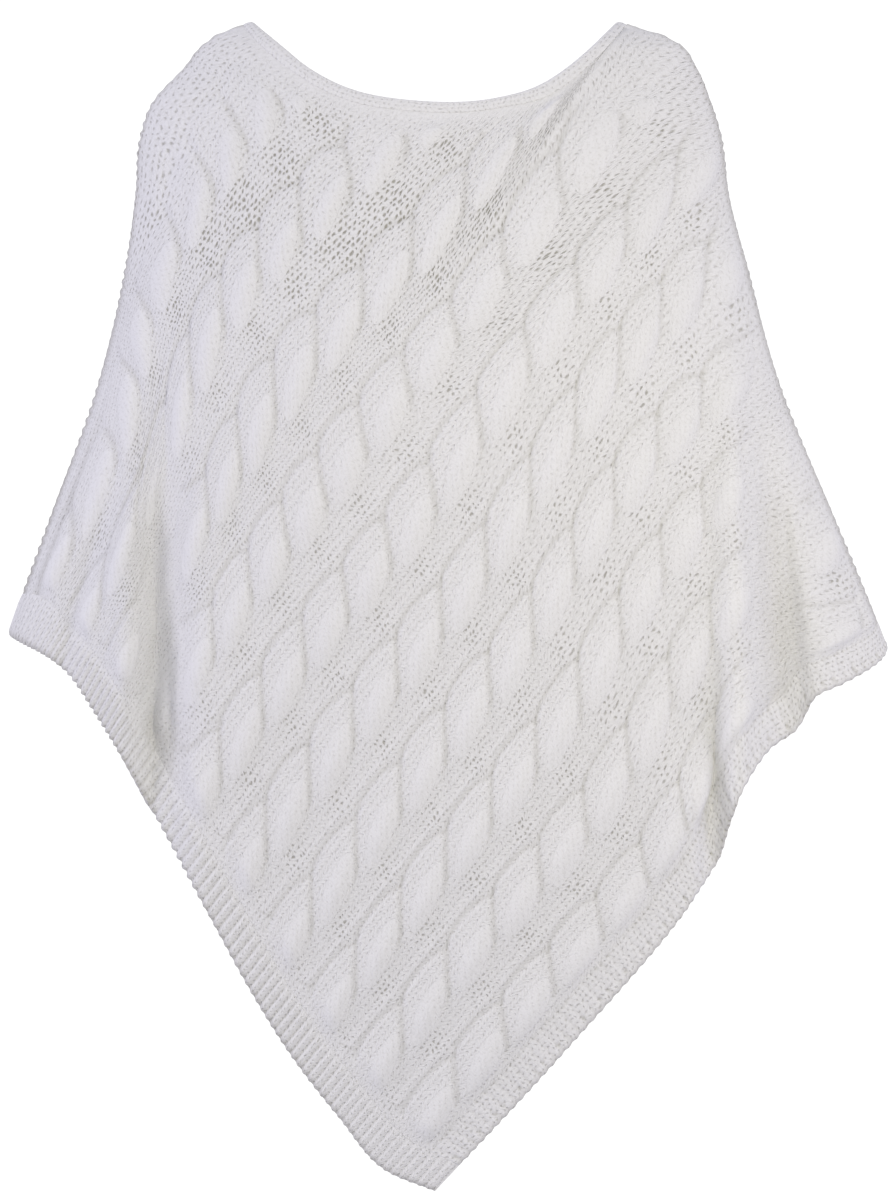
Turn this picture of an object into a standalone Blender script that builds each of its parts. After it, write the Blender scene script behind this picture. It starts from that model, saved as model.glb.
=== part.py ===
"""Knitted poncho sweater, hollow, in its worn form.

A cable-knit panel in front and one behind meet along the sides and over the shoulders. Both share one cut: a ribbed
hem runs down from the left corner to the point, a garter-stitch hem runs up from the point to the right corner, and
a narrow band edges the boat neck. Wales run up and to the right, parallel to the garter hem.

Lengths in this file are millimetres until the meshes are made. X is across, -Y is the front and Z is up. The origin
is between the shoulders, 10 mm below the tips of the neckline. Across the cloth a place is counted in cable columns
from the garter hem, and along a wale as a share of that wale, from the ribbed hem to its far end.
"""

import math

import bmesh
import bpy
import numpy as np

MM = 0.001

WALL = 3.0
SEAM_GAP = 0.3
HEM_SEAM_GAP = 0.42
RIB_HEIGHT = 1.6
GARTER_HEIGHT = 1.0
NECK_BAND_HEIGHT = 0.8

CROSSING_PITCH = 59.0
RIB_BAND = 30.0

GARTER_EDGE = 0.28
GARTER_SEAM = 0.72
NECK_TIP = 7.4
SIDE_SEAM = 10.8
COLUMN_PITCH = 61.0

# A cable to each column, in rows of leaves: x and z from one leaf to the next, how the cables stray from their columns
# and crossings as shares of 1, x, z, x2, xz and z2 across the cloth, and the margins in which they fade out.
CABLE_COLUMNS = 10
FIRST_CROSSING = 0.8
COLUMN_STEP = (-36.2, 52.0)
CROSSING_STEP = (34.7, 45.4)
COLUMN_DRIFT = (-0.111, 0.049, 0.014, 0.112, 0.044, 0.008)
CROSSING_DRIFT = (0.002, 0.137, 0.049, 0.188, -0.016, -0.066)
DRIFT_CENTRE = -450
DRIFT_SPAN = 300
DRIFT_LIMIT = 0.9
CABLE_HEIGHT = 1.3
PLAIN_MARGIN = 0.45
GARTER_MARGIN = 0.12
RIB_MARGIN = 0.03

# A leaf is the strand in front: where it lies from its lattice point, in columns and crossings, how far it lies along
# and to each side of its leaning crest, and how high it stands.
LEAF_PLACE = (-0.169, -0.043)
LEAF_LEAN = math.radians(20)
LEAF_LENGTH = 32.0
LEAF_GENTLE_SIDE = 10.5
LEAF_STEEP_SIDE = 7.5
LEAF_HEIGHT = 4.4

# The cables' scalloped outer edge: its least distance out from the middle, in columns, and the scallops' depth.
SCALLOP_INSIDE = 0.203
SCALLOP_DEPTH = 0.115
SCALLOP_START = 0.272
SCALLOP_BLUNTNESS = 0.65
CABLE_SLOPE = 5.0

# The worn form: how full the chest stays towards the sides, and how round the side edges are.
FULLNESS = 2.3
ROUNDNESS = 0.62
ROLL_START = 0.8
SIDE_FOLD_FADE = 12
FOLD_END = 1.15
FOLD_RUN = 1.3

# How far the cloth is drawn to each of its own edges, in columns or as a share of its wales.
SIDE_REACH = 1.2
GARTER_REACH = 1.5
RIB_REACH = 0.2
END_REACH = 0.3
NECK_REACH = 0.08

# Where the cloth is drawn flat down in the side folds: x, width, the height at which it starts and how much is lost.
# By the right shoulder no cable shows above this height and beyond this x.
DRAWN_FLAT = ((258, 24, -190, 0.75), (-206, 16, -260, 0.6))
DRAWN_RUN = 100
SHOULDER_X = 66
SHOULDER_Z = -66
SHOULDER_RUN = (40, 26)

CELLS_PER_COLUMN = 7
PANEL_ROWS = 54
GARTER_CELLS = 2
BAND_ROWS = 2
LOCKED_RINGS = 2
SHARP_EDGE = math.radians(50)
PANEL_TRIANGLES = 5400

KNIT_COLOURS = {
    "panel": (0.745, 0.745, 0.750, 1.0),
    "rib": (0.730, 0.730, 0.735, 1.0),
    "garter": (0.725, 0.725, 0.725, 1.0),
    "neck": (0.760, 0.760, 0.765, 1.0),
}
KNIT_ROUGHNESS = 0.92


def table(columns, *rows):
    """The named columns of a table, as arrays."""
    return dict(zip(columns.split(), np.array(rows, float).T))


# Half-outlines and depths of the worn form at each height.
SECTIONS = table(
    "z left right front back",
    (10, -139, 139, 0, 0),
    (6, -156, 156, 22, 20),
    (2, -166, 170, 34, 31),
    (-6, -178, 187, 48, 44),
    (-24, -193, 201, 64, 60),
    (-50, -217, 212, 78, 74),
    (-80, -228, 221, 90, 87),
    (-120, -231, 226, 101, 99),
    (-180, -239, 241, 113, 110),
    (-270, -260, 266, 123, 114),
    (-370, -296, 307, 124, 108),
    (-460, -328, 344, 121, 102),
    (-900, -430, 440, 108, 92),
)

# The ribbed hem's edge, from the point up to the left corner.
RIB_HEM = table(
    "column x z",
    (0.28, 0, -882),
    (1, -38, -866),
    (2, -73, -826),
    (3, -108, -781),
    (4, -139, -732),
    (5, -171, -674),
    (6, -203, -616),
    (7, -234, -561),
    (8, -259, -521),
    (9, -285, -484),
    (10, -309, -467),
    (10.8, -328, -460),
)

# The garter hem's edge, from the point up to the right corner, where two side folds draw it in.
GARTER_HEM = table(
    "share x z",
    (0, 0, -882),
    (0.25, 96, -779),
    (0.5, 193, -666),
    (0.57, 212, -637),
    (0.65, 225, -596),
    (0.74, 254, -550),
    (0.795, 277, -531),
    (0.825, 284, -514),
    (0.88, 306, -499),
    (1, 345, -470),
)

# Where the wales end on the right side, and where the left side's own wale runs.
RIGHT_SIDE = table(
    "column z",
    (0.28, -470),
    (1, -435),
    (2, -370),
    (3, -300),
    (4, -239),
    (5, -150),
    (6, -73),
    (7, -2),
    (7.4, 8),
)
LEFT_SIDE = table(
    "share z",
    (0, -460),
    (0.25, -335),
    (0.5, -219),
    (0.75, -79),
    (0.88, -26),
    (1, 8),
)

# The neckline's free edge, and the seam below it where the panels begin.
NECK_EDGE = table(
    "column x z",
    (7.4, 139, 10),
    (7.7, 115, -16),
    (8, 89, -37),
    (8.5, 50, -52),
    (9, 4, -56),
    (9.5, -53, -49),
    (10, -94, -30),
    (10.4, -122, -6),
    (10.8, -139, 10),
)
NECK_SEAM = table(
    "column x z",
    (7.4, 148, 8),
    (7.7, 124, -21),
    (8, 94, -47),
    (8.5, 50, -61),
    (9, 3, -65),
    (9.5, -57, -58),
    (10, -100, -38),
    (10.4, -131, -13),
    (10.8, -148, 8),
)

# Key wales in the plane of the front: each one's places at a quarter, half and three quarters of its length.
KEY_WALES = table(
    "column x1 z1 x2 z2 x3 z3",
    (2, 27, -705, 126, -588, 216, -444),
    (4, -37, -603, 63, -474, 155, -331),
    (6, -104, -487, -4, -364, 105, -203),
    (8, -183, -390, -112, -277, -17, -176),
    (9, -221, -365, -167, -232, -95, -147),
    (10, -239, -318, -211, -201, -160, -100),
)
QUARTERS = np.linspace(0, 1, 5)

# How many cable crossings each wale is long.
WALE_LENGTHS = table(
    "column crossings",
    (0.28, 10.3),
    (2, 11.1),
    (4, 11.7),
    (6, 12.2),
    (7.4, 12.0),
    (8, 11.0),
    (9, 9.9),
    (10, 8.9),
    (10.8, 8.6),
)

# Folds, each along a straight line from its top to its low end. A positive depth sinks in, a negative one stands out,
# and tail is the part of the depth that is left below the low end.
FOLD_COLUMNS = "x_top z_top x_low z_low width depth peak tail"
FRONT_FOLDS = table(
    FOLD_COLUMNS,
    (-204, -215, -207, -565, 18, 26, 0.85, 0.35),
    (-242, -300, -279, -470, 12, 7, 0.6, 1.0),
    (-222, -260, -240, -520, 12, -6, 0.6, 0.5),
    (-204, -70, -202, -140, 9, 5, 0.5, 0.0),
    (228, -150, 231, -570, 14, -14, 0.6, 1.0),
    (240, -230, 262, -520, 17, 17, 0.8, 1.0),
    (250, -260, 273, -515, 14, 7, 0.8, 0.9),
    (290, -400, 300, -500, 16, -4, 0.7, 1.0),
    (212, -440, 212, -650, 10, 12, 0.75, 0.9),
    (186, -520, 190, -660, 24, -6, 0.5, 0.6),
    (60, -420, 40, -860, 60, -4, 0.5, 0.8),
    (-90, -380, -120, -760, 55, 4, 0.5, 0.6),
)
BACK_FOLDS = table(
    FOLD_COLUMNS,
    (-196, -190, -212, -560, 18, 19, 0.8, 1.0),
    (-248, -320, -276, -465, 13, 7, 0.6, 1.0),
    (-222, -260, -240, -520, 15, -5, 0.6, 0.5),
    (214, -170, 222, -600, 18, -9, 0.6, 1.0),
    (238, -260, 262, -540, 18, 18, 0.8, 1.0),
    (60, -90, 40, -840, 46, 6, 0.5, 0.5),
    (-70, -110, -60, -760, 50, 5, 0.4, 0.6),
    (-10, -300, -20, -860, 40, -5, 0.6, 0.8),
)
FOLDS = {"front": FRONT_FOLDS, "back": BACK_FOLDS}
OUTWARD = {"front": -1.0, "back": 1.0}


def curve(keys, values, at):
    """A smooth curve through values at rising keys, read at places; values may have a row for each key."""
    at = np.clip(at, keys[0], keys[-1])
    values = np.broadcast_to(np.asarray(values, float).reshape(len(keys), -1), (len(keys), at.size))
    slopes = np.gradient(values, keys, axis=0)
    start = np.clip(np.searchsorted(keys, at, side="right") - 1, 0, len(keys) - 2)
    each = np.arange(at.size)
    step = keys[start + 1] - keys[start]
    t = (at - keys[start]) / step
    from_start = (1 + 2 * t) * (1 - t) ** 2 * values[start, each] + t * (1 - t) ** 2 * step * slopes[start, each]
    to_end = t**2 * (3 - 2 * t) * values[start + 1, each] - t**2 * (1 - t) * step * slopes[start + 1, each]
    return from_start + to_end


def smooth(value):
    """Rises smoothly from 0 to 1 as value does."""
    value = np.clip(value, 0, 1)
    return value * value * (3 - 2 * value)


def bell(distance, width):
    """A soft bump, 1 at no distance and nearly 0 at twice the width."""
    return np.exp(-((distance / width) ** 2))


def section(column, z):
    """A column of the table of sections, read at heights z."""
    return curve(-SECTIONS["z"], SECTIONS[column], -z)


def along(rows, key, at):
    """The points x, z of a table, read along its key."""
    return np.stack([curve(rows[key], rows["x"], at), curve(rows[key], rows["z"], at)])


def left_side(share):
    """The left side's wale, where the panels meet."""
    z = curve(LEFT_SIDE["share"], LEFT_SIDE["z"], share)
    return np.stack([section("left", z), z])


def far_end(column):
    """Where a wale ends: on the right side, or past the neck tip on the neck seam."""
    z = curve(RIGHT_SIDE["column"], RIGHT_SIDE["z"], column)
    on_side = np.stack([section("right", z), z])
    return np.where(column <= NECK_TIP, on_side, along(NECK_SEAM, "column", column))


def stations():
    """The columns of the key wales and the five stations of each, x and z."""
    columns = np.array([GARTER_EDGE, *KEY_WALES["column"], SIDE_SEAM])
    inner = KEY_WALES["column"]
    places = [along(RIB_HEM, "column", inner)]
    places += [np.stack([KEY_WALES[f"x{k}"], KEY_WALES[f"z{k}"]]) for k in (1, 2, 3)]
    places += [far_end(inner)]
    places = np.stack(places, axis=2)
    first = along(GARTER_HEM, "share", QUARTERS)[:, None]
    last = left_side(QUARTERS)[:, None]
    return columns, np.concatenate([first, places, last], axis=1)


def lay(column, share):
    """Places x, z in the plane of the front, for columns and shares of their wales.

    The cloth follows the key wales, and is then drawn to the garment's own edges close to them.
    """
    columns, places = stations()
    near_side = smooth(1 - (SIDE_SEAM - column) / SIDE_REACH)
    near_garter = smooth(1 - (column - GARTER_EDGE) / GARTER_REACH)
    near_rib = smooth(1 - share / RIB_REACH)
    near_end = smooth(1 - (1 - share) / END_REACH)
    on_side, on_garter = left_side(share), along(GARTER_HEM, "share", share)
    on_rib, on_end = along(RIB_HEM, "column", column), far_end(column)
    laid = []
    for axis in (0, 1):
        wales = np.array([curve(QUARTERS, wale, share) for wale in places[axis]])
        value = curve(columns, wales, column)
        value += near_side * (on_side[axis] - wales[-1])
        value += near_garter * (on_garter[axis] - wales[0])
        value += near_rib * (on_rib[axis] - curve(columns, places[axis][:, 0], column))
        value += near_end * (on_end[axis] - curve(columns, places[axis][:, -1], column))
        laid.append(value)
    x, z = laid
    x = np.where(column >= SIDE_SEAM, section("left", z), x)
    x = np.where((share >= 1) & (column <= NECK_TIP), section("right", z), x)
    # The wales that end on the neck seam meet the band there, so they aren't gathered.
    gathered = 1 - smooth(1 - (1 - share) / NECK_REACH) * (column > NECK_TIP)
    return x + (roll(x, z) - x) * gathered, z


def middle_and_half(z):
    """The middle of the worn form at each height, and half its width."""
    left, right = section("left", z), section("right", z)
    return (left + right) / 2, (right - left) / 2


def roll(x, z):
    """Gathers the places close to a side edge, so that the rounded edge has enough of them."""
    middle, half = middle_and_half(z)
    reach = (x - middle) / half
    over = np.clip((np.abs(reach) - ROLL_START) / (1 - ROLL_START), 0, 1)
    eased = ROLL_START + (1 - ROLL_START) * (over + over**2 - over**3)
    return middle + half * np.where(over > 0, np.sign(reach) * eased, reach)


def fold_depth(x, z, side):
    """How far the folds sink the cloth at each place."""
    total = np.zeros_like(x)
    rows = FOLDS[side]
    for x_top, z_top, x_low, z_low, width, depth, peak, tail in zip(*rows.values()):
        down = (z_top - z) / (z_top - z_low)
        rise = smooth(down / peak)
        fall = 1 - (1 - tail) * smooth((down - peak) / (FOLD_END - peak))
        centre = x_top + (x_low - x_top) * np.clip(down, 0, FOLD_RUN)
        total += depth * rise * fall * bell(x - centre, width)
    return total


def depth_at(x, z, side):
    """How far the cloth's middle layer stands from the plane of the side seams."""
    middle, half = middle_and_half(z)
    reach = np.clip(np.abs(x - middle) / half, 0, 1)
    form = section(side, z) * (1 - reach**FULLNESS) ** ROUNDNESS
    folded = fold_depth(x, z, side) * (1 - reach**SIDE_FOLD_FADE)
    return np.maximum(form - folded, SEAM_GAP / 2)


def outward(x, z, side):
    """The cloth's outward directions, worked out from the slope of its form."""
    step = 1.0
    slope_x = (depth_at(x + step, z, side) - depth_at(x - step, z, side)) / (2 * step)
    slope_z = (depth_at(x, z + step, side) - depth_at(x, z - step, side)) / (2 * step)
    middle, half = middle_and_half(z)
    at_seam = np.abs(x - middle) > half - 0.01
    facing = np.where(at_seam, 0.0, OUTWARD[side])
    normals = np.stack([-slope_x, facing, -slope_z], axis=1)
    return normals / np.linalg.norm(normals, axis=1, keepdims=True)


def wale_crossings(column):
    """How many cable crossings the wales at these columns are long."""
    return curve(WALE_LENGTHS["column"], WALE_LENGTHS["crossings"], column)


def as_share(length, column):
    """A length along a wale as a share of that wale."""
    return length / CROSSING_PITCH / wale_crossings(column)


def stray(shares, x, z):
    """How far the cables stray at each place, in columns or crossings."""
    x, z = np.clip(x / DRIFT_SPAN, -DRIFT_LIMIT, DRIFT_LIMIT), (z - DRIFT_CENTRE) / DRIFT_SPAN
    terms = np.stack([np.ones_like(x), x, z, x * x, x * z, z * z])
    return np.tensordot(shares, terms, axes=1)


def leaf(u, v):
    """The rounded leaf of the strand in front, from nothing beside it to 1 at its middle."""
    best = np.zeros_like(u)
    lean_x, lean_z = math.sin(LEAF_LEAN), math.cos(LEAF_LEAN)
    for shift in (-1, 0, 1):
        du = u - LEAF_PLACE[0]
        dv = v - LEAF_PLACE[1] - np.round(v - u) - shift
        x = COLUMN_STEP[0] * du + CROSSING_STEP[0] * dv
        z = COLUMN_STEP[1] * du + CROSSING_STEP[1] * dv
        lengthways = (x * lean_x + z * lean_z) / LEAF_LENGTH
        sideways = x * lean_z - z * lean_x
        sideways = sideways / np.where(sideways > 0, LEAF_STEEP_SIDE, LEAF_GENTLE_SIDE)
        best = np.maximum(best, np.exp(-(lengthways**2) - sideways**2))
    return best


def cable_relief(column, share, x, z):
    """How far the cables stand out, which fade towards the wales' ends, the side seam and the garter hem."""
    crossings = share * wale_crossings(column)
    strayed = column + stray(COLUMN_DRIFT, x, z)
    u = strayed - np.clip(np.round(strayed), 1, CABLE_COLUMNS)
    v = crossings + stray(CROSSING_DRIFT, x, z) - FIRST_CROSSING
    scallop = SCALLOP_INSIDE + SCALLOP_DEPTH * np.abs(np.sin(np.pi * (v + SCALLOP_START))) ** SCALLOP_BLUNTNESS
    beside = (scallop - u) * COLUMN_PITCH / CABLE_SLOPE
    raised = CABLE_HEIGHT * smooth(beside) * smooth((u + 0.5) / 0.45)
    raised += LEAF_HEIGHT * leaf(u, v) * smooth(beside + 0.2)
    raised *= smooth((wale_crossings(column) - crossings) / PLAIN_MARGIN - 0.3)
    raised *= smooth((SIDE_SEAM - column) / PLAIN_MARGIN - 0.3)
    raised *= smooth((column - GARTER_SEAM) / GARTER_MARGIN - 0.1)
    for centre, width, start, part in DRAWN_FLAT:
        raised *= 1 - part * bell(x - centre, width) * smooth((start - z) / DRAWN_RUN)
    return raised * (1 - smooth((x - SHOULDER_X) / SHOULDER_RUN[0]) * smooth((z - SHOULDER_Z) / SHOULDER_RUN[1]))


def ranks(low, high, cells):
    """Evenly spaced places from low to high."""
    return np.linspace(low, high, cells + 1)


def panel_columns():
    """The columns of a panel's points, with one exactly at the neck tip."""
    low = ranks(GARTER_SEAM, NECK_TIP, round((NECK_TIP - GARTER_SEAM) * CELLS_PER_COLUMN))
    high = ranks(NECK_TIP, SIDE_SEAM, round((SIDE_SEAM - NECK_TIP) * CELLS_PER_COLUMN))
    return np.concatenate([low, high[1:]])


def between(values, parts):
    """The values with parts - 1 more evenly spaced between each two."""
    places = np.arange((len(values) - 1) * parts + 1) / parts
    return np.interp(places, np.arange(len(values)), values)


def grid_of(columns, rows):
    """Columns and rows paired for every point of a wall, as two flat arrays."""
    first, second = np.meshgrid(columns, rows, indexing="ij")
    return first.ravel(), second.ravel()


def both_faces(x, z, side, relief):
    """A wall's outer and inner points: the relief is raised outside, and the inside stays plain."""
    normals = outward(x, z, side)
    middle = np.stack([x, OUTWARD[side] * depth_at(x, z, side), z], axis=1)
    return middle + normals * relief[:, None], middle - normals * WALL


def material(name, colour):
    """A matt knitted yarn."""
    made = bpy.data.materials.new(name)
    made.use_nodes = True
    shader = made.node_tree.nodes["Principled BSDF"]
    shader.inputs["Base Color"].default_value = colour
    shader.inputs["Roughness"].default_value = KNIT_ROUGHNESS
    shader.inputs["Metallic"].default_value = 0.0
    return made


def wall(name, shape, outer, inner, colour):
    """One closed wall of cloth from a grid of outer and inner points."""
    across, up = shape
    bm = bmesh.new()
    bmesh.ops.create_grid(bm, x_segments=across - 1, y_segments=up - 1, size=0.5)
    for vert in bm.verts:
        vert.co.x = round((vert.co.x + 0.5) * (across - 1))
        vert.co.y = round((vert.co.y + 0.5) * (up - 1))
    lifted = bmesh.ops.extrude_face_region(bm, geom=bm.faces[:], use_keep_orig=True)
    for vert in lifted["geom"]:
        if isinstance(vert, bmesh.types.BMVert):
            vert.co.z = 1.0
    edge_distance = []
    for vert in bm.verts:
        column, row = round(vert.co.x), round(vert.co.y)
        points = outer if vert.co.z > 0.5 else inner
        edge_distance.append(min(column, row, across - 1 - column, up - 1 - row))
        vert.co = points[column * up + row] * MM
    bmesh.ops.triangulate(bm, faces=bm.faces[:])
    bmesh.ops.recalc_face_normals(bm, faces=bm.faces[:])
    mesh = bpy.data.meshes.new(name)
    bm.to_mesh(mesh)
    bm.free()
    mesh.shade_smooth()
    mesh.set_sharp_from_angle(angle=SHARP_EDGE)
    mesh.materials.append(material(f"knit_{name}", colour))
    made = bpy.data.objects.new(name, mesh)
    bpy.context.scene.collection.objects.link(made)
    return made, edge_distance


def thin_out(made, edge_distance, triangles):
    """Leaves triangles where the cables and folds need them, and keeps the seams' points."""
    free = made.vertex_groups.new(name="away_from_seams")
    free.add([i for i, rings in enumerate(edge_distance) if rings >= LOCKED_RINGS], 1.0, "REPLACE")
    fewer = made.modifiers.new("fewer_triangles", "DECIMATE")
    fewer.decimate_type = "COLLAPSE"
    fewer.ratio = triangles / len(made.data.polygons)
    fewer.vertex_group = free.name


def panel(side):
    """A cable-knit panel, front or back."""
    columns, rows = panel_columns(), ranks(0, 1, PANEL_ROWS)
    column, row = grid_of(columns, rows)
    start = as_share(RIB_BAND + HEM_SEAM_GAP, column)
    share = start + (1 - start) * row
    x, z = lay(np.maximum(column, GARTER_SEAM + SEAM_GAP / COLUMN_PITCH), share)
    near_rib = smooth(row / RIB_MARGIN)
    outer, inner = both_faces(x, z, side, cable_relief(column, share, x, z) * near_rib)
    made, edge_distance = wall(f"{side}_panel", (len(columns), len(rows)), outer, inner, KNIT_COLOURS["panel"])
    thin_out(made, edge_distance, PANEL_TRIANGLES)


def rib_hem(side):
    """The ribbed hem, which runs the whole length of the edge from the point to the left corner."""
    seam_columns = np.concatenate([ranks(GARTER_EDGE, GARTER_SEAM, GARTER_CELLS)[:-1], panel_columns()])
    columns, rows = between(seam_columns, 2), ranks(0, 1, BAND_ROWS)
    column, row = grid_of(columns, rows)
    x, z = lay(column, as_share(RIB_BAND, column) * row)
    ridge = np.tile([[0.0], [1.0]], (len(seam_columns), 1))[: len(columns)]
    relief = RIB_HEIGHT * np.broadcast_to(ridge, (len(columns), len(rows))).copy()
    relief[:, -1] = 0.0
    faces = [points.reshape(len(columns), len(rows), 3) for points in both_faces(x, z, side, relief.ravel())]
    for points in faces:
        points[1:-1:2, -1] = (points[:-2:2, -1] + points[2::2, -1]) / 2
    outer, inner = [points.reshape(-1, 3) for points in faces]
    wall(f"{side}_rib_hem", (len(columns), len(rows)), outer, inner, KNIT_COLOURS["rib"])


def garter_hem(side):
    """The garter-stitch hem, from the ribbed hem's end to the right corner."""
    columns, rows = ranks(GARTER_EDGE, GARTER_SEAM, GARTER_CELLS), ranks(0, 1, PANEL_ROWS)
    column, row = grid_of(columns, rows)
    start = as_share(RIB_BAND + HEM_SEAM_GAP, column)
    x, z = lay(column, start + (1 - start) * row)
    inside = (column > GARTER_EDGE) & (column < GARTER_SEAM)
    relief = np.where(inside, GARTER_HEIGHT * (1 + np.cos(np.pi * row * PANEL_ROWS)) / 2, 0.0)
    outer, inner = both_faces(x, z, side, relief * (row > 0) * (row < 1))
    wall(f"{side}_garter_hem", (len(columns), len(rows)), outer, inner, KNIT_COLOURS["garter"])


def neck_band(side):
    """The narrow band round one half of the neckline."""
    columns = panel_columns()
    columns = columns[columns >= NECK_TIP - 1e-6]
    rows = ranks(0, 1, BAND_ROWS)
    column, row = grid_of(columns, rows)
    seam, edge = along(NECK_SEAM, "column", column), along(NECK_EDGE, "column", column)
    width = np.linalg.norm(edge - seam, axis=0)
    across = SEAM_GAP / width + (1 - SEAM_GAP / width) * row
    x, z = seam + (edge - seam) * across
    at_tip = (column <= NECK_TIP) | (column >= SIDE_SEAM)
    x = np.where(at_tip, np.where(x > 0, section("right", z), section("left", z)), x)
    relief = NECK_BAND_HEIGHT * (row > 0) * (row < 1)
    outer, inner = both_faces(x, z, side, relief)
    wall(f"{side}_neck_band", (len(columns), len(rows)), outer, inner, KNIT_COLOURS["neck"])


def main():
    """Builds both halves of the garment."""
    for old in list(bpy.data.objects):
        bpy.data.objects.remove(old)
    for side in ("front", "back"):
        panel(side)
        rib_hem(side)
        garter_hem(side)
        neck_band(side)


main()
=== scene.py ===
"""Finished look of a hollow knitted poncho sweater in its worn form.

Eight pieces of cloth are made here, one for each piece that is sewn: two cable-knit panels, and on each
a ribbed hem, a garter-stitch hem and a neck band. Each is a closed shell on the form of the solid that it
stands for, with finer cables, folds and edges. It carries its own stitch coordinates, which its finish reads.

Lengths are millimetres until a mesh is made. X is across, -Y is the front and Z is up. Across the cloth a
place is counted in cable columns from the garter hem. Along a wale it is a share of it, from the rib hem up.
"""

import logging
import math
from dataclasses import dataclass
from enum import Enum
from functools import partialmethod
from typing import Callable, ClassVar

import bmesh
import bpy
import numpy as np
from bpy.types import ID, Material, Mesh, Node, NodeSocket, NodeTree, Object
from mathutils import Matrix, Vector

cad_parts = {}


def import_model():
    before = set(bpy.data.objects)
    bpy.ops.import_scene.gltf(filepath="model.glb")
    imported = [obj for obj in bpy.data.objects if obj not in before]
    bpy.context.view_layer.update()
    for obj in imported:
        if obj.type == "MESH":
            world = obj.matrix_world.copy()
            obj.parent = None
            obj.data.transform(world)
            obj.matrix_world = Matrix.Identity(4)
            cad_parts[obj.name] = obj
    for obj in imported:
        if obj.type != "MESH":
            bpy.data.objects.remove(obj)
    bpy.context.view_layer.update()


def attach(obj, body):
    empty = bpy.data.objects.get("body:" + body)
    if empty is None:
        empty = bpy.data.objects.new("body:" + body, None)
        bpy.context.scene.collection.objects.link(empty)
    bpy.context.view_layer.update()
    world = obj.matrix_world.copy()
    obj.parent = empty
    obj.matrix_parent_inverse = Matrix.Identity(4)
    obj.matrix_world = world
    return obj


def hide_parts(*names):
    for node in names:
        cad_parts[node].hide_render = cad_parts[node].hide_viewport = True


log = logging.getLogger("poncho")

MM = 0.001
BODY = "root"

Array = np.ndarray
Vectors = tuple[Array, Array, Array]
Table = dict[str, Array]
Point = tuple[float, float, float]


class Side(Enum):
    """The two halves of the garment: each one's name, and the sign of Y in which its cloth stands out."""

    FRONT = ("front", -1.0)
    BACK = ("back", 1.0)

    def __init__(self, label: str, facing: float) -> None:
        """Keeps the half's name and sign."""
        self.label, self.facing = label, facing


def table(text: str) -> Table:
    """Reads a table.

    Args:
        text: a line of the columns' names, then the rows, each on its own line or with commas between.

    Returns:
        Each column's values as an array.
    """
    names, *rows = [row.split() for row in text.replace(",", "\n").splitlines() if row.strip()]
    return dict(zip(names, np.array(rows, float).T))


# The garment's sizes, as its solids have them: its wall, the gap between front and back, the gap that the
# shells leave at a seam, and the depth of the rib hem.
WALL = 3.0
SEAM_GAP = 0.3
JOIN = 0.04
RIB_BAND = 30.0

# The columns of the garter hem's edges, the neck's tip and the side seam, and how far columns and crossings are
# from each other.
GARTER_EDGE = 0.28
GARTER_SEAM = 0.72
NECK_TIP = 7.4
SIDE_SEAM = 10.8
COLUMN_PITCH = 61.0
CROSSING_PITCH = 59.0

# Half-outlines and depths of the worn form at each height.
SECTIONS = table("""
    z left right front back
    10 -139 139 0 0
    6 -156 156 22 20
    2 -166 170 34 31
    -6 -178 187 48 44
    -24 -193 201 64 60
    -50 -217 212 78 74
    -80 -228 221 90 87
    -120 -231 226 101 99
    -180 -239 241 113 110
    -270 -260 266 123 114
    -370 -296 307 124 108
    -460 -328 344 121 102
    -900 -430 440 108 92
""")

# The ribbed hem's edge, from the point up to the left corner.
RIB_HEM = table("""
    column x z
    0.28 0 -882, 1 -38 -866, 2 -73 -826, 3 -108 -781, 4 -139 -732, 5 -171 -674, 6 -203 -616, 7 -234 -561,
    8 -259 -521, 9 -285 -484, 10 -309 -467, 10.8 -328 -460
""")

# The garter hem's edge, from the point up to the right corner, where two side folds draw it in.
GARTER_HEM = table("""
    share x z
    0 0 -882, 0.25 96 -779, 0.5 193 -666, 0.57 212 -637, 0.65 225 -596, 0.74 254 -550, 0.795 277 -531,
    0.825 284 -514, 0.88 306 -499, 1 345 -470
""")

# Where the wales end on the right side, and where the left side's own wale runs.
RIGHT_SIDE = table("""
    column z
    0.28 -470, 1 -435, 2 -370, 3 -300, 4 -239, 5 -150, 6 -73, 7 -2, 7.4 8
""")
LEFT_SIDE = table("""
    share z
    0 -460, 0.25 -335, 0.5 -219, 0.75 -79, 0.88 -26, 1 8
""")

# The neckline's free edge, and the seam below it where the panels begin.
NECK_EDGE = table("""
    column x z
    7.4 139 10, 7.7 115 -16, 8 89 -37, 8.5 50 -52, 9 4 -56, 9.5 -53 -49, 10 -94 -30, 10.4 -122 -6,
    10.8 -139 10
""")
NECK_SEAM = table("""
    column x z
    7.4 148 8, 7.7 124 -21, 8 94 -47, 8.5 50 -61, 9 3 -65, 9.5 -57 -58, 10 -100 -38, 10.4 -131 -13,
    10.8 -148 8
""")

# Key wales in the plane of the front: each one's places at a quarter, half and three quarters of its length.
KEY_WALES = table("""
    column x1 z1 x2 z2 x3 z3
    2 27 -705 126 -588 216 -444
    4 -37 -603 63 -474 155 -331
    6 -104 -487 -4 -364 105 -203
    8 -183 -390 -112 -277 -17 -176
    9 -221 -365 -167 -232 -95 -147
    10 -239 -318 -211 -201 -160 -100
""")
QUARTERS = np.linspace(0, 1, 5)

# How many cable crossings each wale is long.
WALE_LENGTHS = table("""
    column crossings
    0.28 10.3, 2 11.1, 4 11.7, 6 12.2, 7.4 12.0, 8 11.0, 9 9.9, 10 8.9, 10.8 8.6
""")

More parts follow.
